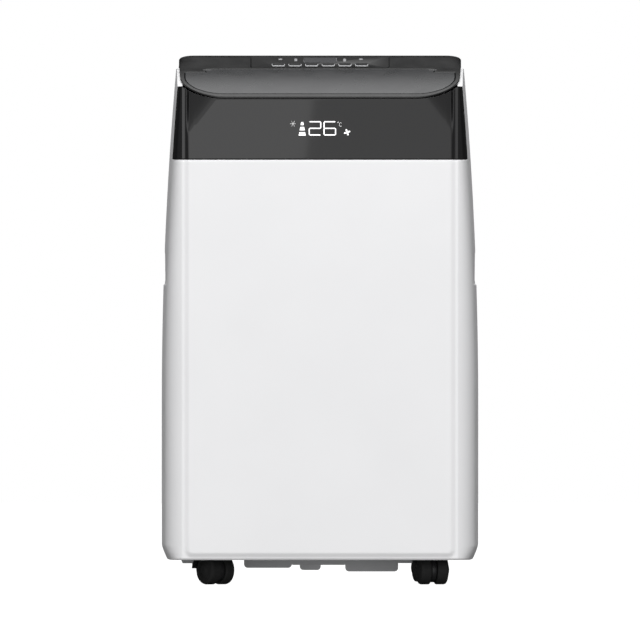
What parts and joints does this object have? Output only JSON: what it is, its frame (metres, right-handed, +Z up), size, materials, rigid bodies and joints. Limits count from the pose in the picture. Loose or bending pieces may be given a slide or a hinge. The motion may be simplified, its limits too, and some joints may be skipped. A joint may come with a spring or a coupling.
{
  "type": "portable air conditioner",
  "caption": "Portable room air conditioner on twin-wheel casters, white casing, black display band, sloped control deck and a hinged air outlet flap",
  "frame": {"origin": "On the floor, under the middle of the casing's footprint", "axes": "+Z up; the front panel and display face -Y; +X to the right when looking at the front"},
  "size_m": [0.438, 0.375, 0.73],
  "materials": {
    "casing_white": "satin",
    "lens_black": "gloss",
    "cover_dark": "satin",
    "flap_grey": "satin",
    "key_black": "gloss",
    "grey_plastic": "matte",
    "caster_black": "satin",
    "rubber_black": "matte",
    "inner_plastic": "matte",
    "fan_black": "satin",
    "motor_steel": "satin",
    "coil_aluminium": "satin",
    "compressor_paint": "satin",
    "copper": "satin",
    "circuit_board": "satin"
  },
  "bodies": {
    "root": {"base_pan": "grey_plastic", "compressor": "compressor_paint", "condenser_blower_housing": "inner_plastic", "condenser_coil": "coil_aluminium", "condenser_fan_motor": "motor_steel", "control_board": "circuit_board", "control_panel": "lens_black", "cord_gland": "rubber_black", "discharge_pipe": "copper", "display_board": "circuit_board", "display_lens": "lens_black", "electrical_box": "motor_steel", "evaporator_blower_housing": "inner_plastic", "evaporator_coil": "coil_aluminium", "evaporator_fan_motor": "motor_steel", "exhaust_collar": "grey_plastic", "exhaust_duct": "grey_plastic", "front_panel": "casing_white", "left_handle_cup": "grey_plastic", "left_side_panel": "casing_white", "mid_deck": "inner_plastic", "outlet_duct": "grey_plastic", "power_board": "circuit_board", "rear_panel": "casing_white", "right_handle_cup": "grey_plastic", "right_side_panel": "casing_white", "run_capacitor": "motor_steel", "suction_pipe": "copper", "top_cover": "cover_dark"},
    "flap": {"outlet_flap": "flap_grey"},
    "vane_1": {"vane_1": "cover_dark"},
    "vane_2": {"vane_2": "cover_dark"},
    "vane_3": {"vane_3": "cover_dark"},
    "vane_4": {"vane_4": "cover_dark"},
    "vane_link": {"vane_link_bar": "cover_dark"},
    "button_power": {"button_power": "key_black"},
    "button_mode": {"button_mode": "key_black"},
    "button_down": {"button_down": "key_black"},
    "button_up": {"button_up": "key_black"},
    "button_fan": {"button_fan": "key_black"},
    "button_timer": {"button_timer": "key_black"},
    "evaporator_blower_wheel": {"evaporator_blower_wheel": "fan_black"},
    "condenser_blower_wheel": {"condenser_blower_wheel": "fan_black"},
    "upper_filter": {"upper_filter": "casing_white"},
    "lower_filter": {"lower_filter": "casing_white"},
    "upper_drain_plug": {"upper_drain_plug": "rubber_black"},
    "lower_drain_plug": {"lower_drain_plug": "rubber_black"},
    "caster_front_left": {"caster_fork_front_left": "caster_black"},
    "caster_wheel_front_left_a": {"caster_wheel_front_left_a": "caster_black"},
    "caster_wheel_front_left_b": {"caster_wheel_front_left_b": "caster_black"},
    "caster_front_right": {"caster_fork_front_right": "caster_black"},
    "caster_wheel_front_right_a": {"caster_wheel_front_right_a": "caster_black"},
    "caster_wheel_front_right_b": {"caster_wheel_front_right_b": "caster_black"},
    "caster_rear_left": {"caster_fork_rear_left": "caster_black"},
    "caster_wheel_rear_left_a": {"caster_wheel_rear_left_a": "caster_black"},
    "caster_wheel_rear_left_b": {"caster_wheel_rear_left_b": "caster_black"},
    "caster_rear_right": {"caster_fork_rear_right": "caster_black"},
    "caster_wheel_rear_right_a": {"caster_wheel_rear_right_a": "caster_black"},
    "caster_wheel_rear_right_b": {"caster_wheel_rear_right_b": "caster_black"}
  },
  "joints": [
    {"name": "flap_open", "type": "hinge", "parent": "root", "child": "flap", "pos_m": [0, -0.096, 0.70862], "axis": [-1, 0, 0], "range_deg": [0, 60]},
    {"name": "vane_1_turn", "type": "hinge", "parent": "root", "child": "vane_1", "pos_m": [-0.112, -0.12656, 0.66785], "axis": [0, 0.9155, 0.4023], "range_deg": [-35, 35]},
    {"name": "vane_2_turn", "type": "hinge", "parent": "root", "child": "vane_2", "pos_m": [-0.0375, -0.12656, 0.66785], "axis": [0, 0.9155, 0.4023], "range_deg": [-35, 35]},
    {"name": "vane_3_turn", "type": "hinge", "parent": "root", "child": "vane_3", "pos_m": [0.0375, -0.12656, 0.66785], "axis": [0, 0.9155, 0.4023], "range_deg": [-35, 35]},
    {"name": "vane_4_turn", "type": "hinge", "parent": "root", "child": "vane_4", "pos_m": [0.112, -0.12656, 0.66785], "axis": [0, 0.9155, 0.4023], "range_deg": [-35, 35]},
    {"name": "vane_link_slide", "type": "slide", "parent": "root", "child": "vane_link", "axis": [1, 0, 0], "range_m": [-0.0113, 0.0113]},
    {"name": "button_power_press", "type": "slide", "parent": "root", "child": "button_power", "axis": [0, 0.309, -0.9511], "range_m": [0, 0.001], "stiffness_N_per_m": 800, "springref_m": -0.0005},
    {"name": "button_mode_press", "type": "slide", "parent": "root", "child": "button_mode", "axis": [0, 0.309, -0.9511], "range_m": [0, 0.001], "stiffness_N_per_m": 800, "springref_m": -0.0005},
    {"name": "button_down_press", "type": "slide", "parent": "root", "child": "button_down", "axis": [0, 0.309, -0.9511], "range_m": [0, 0.001], "stiffness_N_per_m": 800, "springref_m": -0.0005},
    {"name": "button_up_press", "type": "slide", "parent": "root", "child": "button_up", "axis": [0, 0.309, -0.9511], "range_m": [0, 0.001], "stiffness_N_per_m": 800, "springref_m": -0.0005},
    {"name": "button_fan_press", "type": "slide", "parent": "root", "child": "button_fan", "axis": [0, 0.309, -0.9511], "range_m": [0, 0.001], "stiffness_N_per_m": 800, "springref_m": -0.0005},
    {"name": "button_timer_press", "type": "slide", "parent": "root", "child": "button_timer", "axis": [0, 0.309, -0.9511], "range_m": [0, 0.001], "stiffness_N_per_m": 800, "springref_m": -0.0005},
    {"name": "evaporator_blower_spin", "type": "hinge", "parent": "root", "child": "evaporator_blower_wheel", "pos_m": [-0.012, -0.1, 0.53], "axis": [0, 1, 0], "continuous": true},
    {"name": "condenser_blower_spin", "type": "hinge", "parent": "root", "child": "condenser_blower_wheel", "pos_m": [0.072, -0.02, 0.19], "axis": [0, 1, 0], "continuous": true},
    {"name": "upper_filter_pull", "type": "slide", "parent": "root", "child": "upper_filter", "axis": [0, 1, 0], "range_m": [0, 0.04]},
    {"name": "lower_filter_pull", "type": "slide", "parent": "root", "child": "lower_filter", "axis": [0, 1, 0], "range_m": [0, 0.04]},
    {"name": "upper_drain_plug_pull", "type": "slide", "parent": "root", "child": "upper_drain_plug", "axis": [0, 1, 0], "range_m": [0, 0.02]},
    {"name": "lower_drain_plug_pull", "type": "slide", "parent": "root", "child": "lower_drain_plug", "axis": [0, 1, 0], "range_m": [0, 0.02]},
    {"name": "caster_front_left_swivel", "type": "hinge", "parent": "root", "child": "caster_front_left", "pos_m": [-0.152, -0.125, 0], "axis": [0, 0, 1], "continuous": true},
    {"name": "caster_wheel_front_left_a_spin", "type": "hinge", "parent": "caster_front_left", "child": "caster_wheel_front_left_a", "pos_m": [-0.14418, -0.13538, 0.02], "axis": [-0.7986, -0.6018, 0], "continuous": true},
    {"name": "caster_wheel_front_left_b_spin", "type": "hinge", "parent": "caster_front_left", "child": "caster_wheel_front_left_b", "pos_m": [-0.14418, -0.13538, 0.02], "axis": [-0.7986, -0.6018, 0], "continuous": true},
    {"name": "caster_front_right_swivel", "type": "hinge", "parent": "root", "child": "caster_front_right", "pos_m": [0.152, -0.125, 0], "axis": [0, 0, 1], "continuous": true},
    {"name": "caster_wheel_front_right_a_spin", "type": "hinge", "parent": "caster_front_right", "child": "caster_wheel_front_right_a", "pos_m": [0.1547, -0.13772, 0.02], "axis": [-0.9781, -0.2079, 0], "continuous": true},
    {"name": "caster_wheel_front_right_b_spin", "type": "hinge", "parent": "caster_front_right", "child": "caster_wheel_front_right_b", "pos_m": [0.1547, -0.13772, 0.02], "axis": [-0.9781, -0.2079, 0], "continuous": true},
    {"name": "caster_rear_left_swivel", "type": "hinge", "parent": "root", "child": "caster_rear_left", "pos_m": [-0.152, 0.125, 0], "axis": [0, 0, 1], "continuous": true},
    {"name": "caster_wheel_rear_left_a_spin", "type": "hinge", "parent": "caster_rear_left", "child": "caster_wheel_rear_left_a", "pos_m": [-0.14842, 0.1125, 0.02], "axis": [-0.9613, -0.2756, 0], "continuous": true},
    {"name": "caster_wheel_rear_left_b_spin", "type": "hinge", "parent": "caster_rear_left", "child": "caster_wheel_rear_left_b", "pos_m": [-0.14842, 0.1125, 0.02], "axis": [-0.9613, -0.2756, 0], "continuous": true},
    {"name": "caster_rear_right_swivel", "type": "hinge", "parent": "root", "child": "caster_rear_right", "pos_m": [0.152, 0.125, 0], "axis": [0, 0, 1], "continuous": true},
    {"name": "caster_wheel_rear_right_a_spin", "type": "hinge", "parent": "caster_rear_right", "child": "caster_wheel_rear_right_a", "pos_m": [0.14974, 0.1122, 0.02], "axis": [-0.9848, 0.1736, 0], "continuous": true},
    {"name": "caster_wheel_rear_right_b_spin", "type": "hinge", "parent": "caster_rear_right", "child": "caster_wheel_rear_right_b", "pos_m": [0.14974, 0.1122, 0.02], "axis": [-0.9848, 0.1736, 0], "continuous": true}
  ],
  "couplings": [
    {"joint": "vane_1_turn", "follows": "vane_link_slide", "rad_per_m": -54.054},
    {"joint": "vane_2_turn", "follows": "vane_link_slide", "rad_per_m": -54.054},
    {"joint": "vane_3_turn", "follows": "vane_link_slide", "rad_per_m": -54.054},
    {"joint": "vane_4_turn", "follows": "vane_link_slide", "rad_per_m": -54.054}
  ]
}
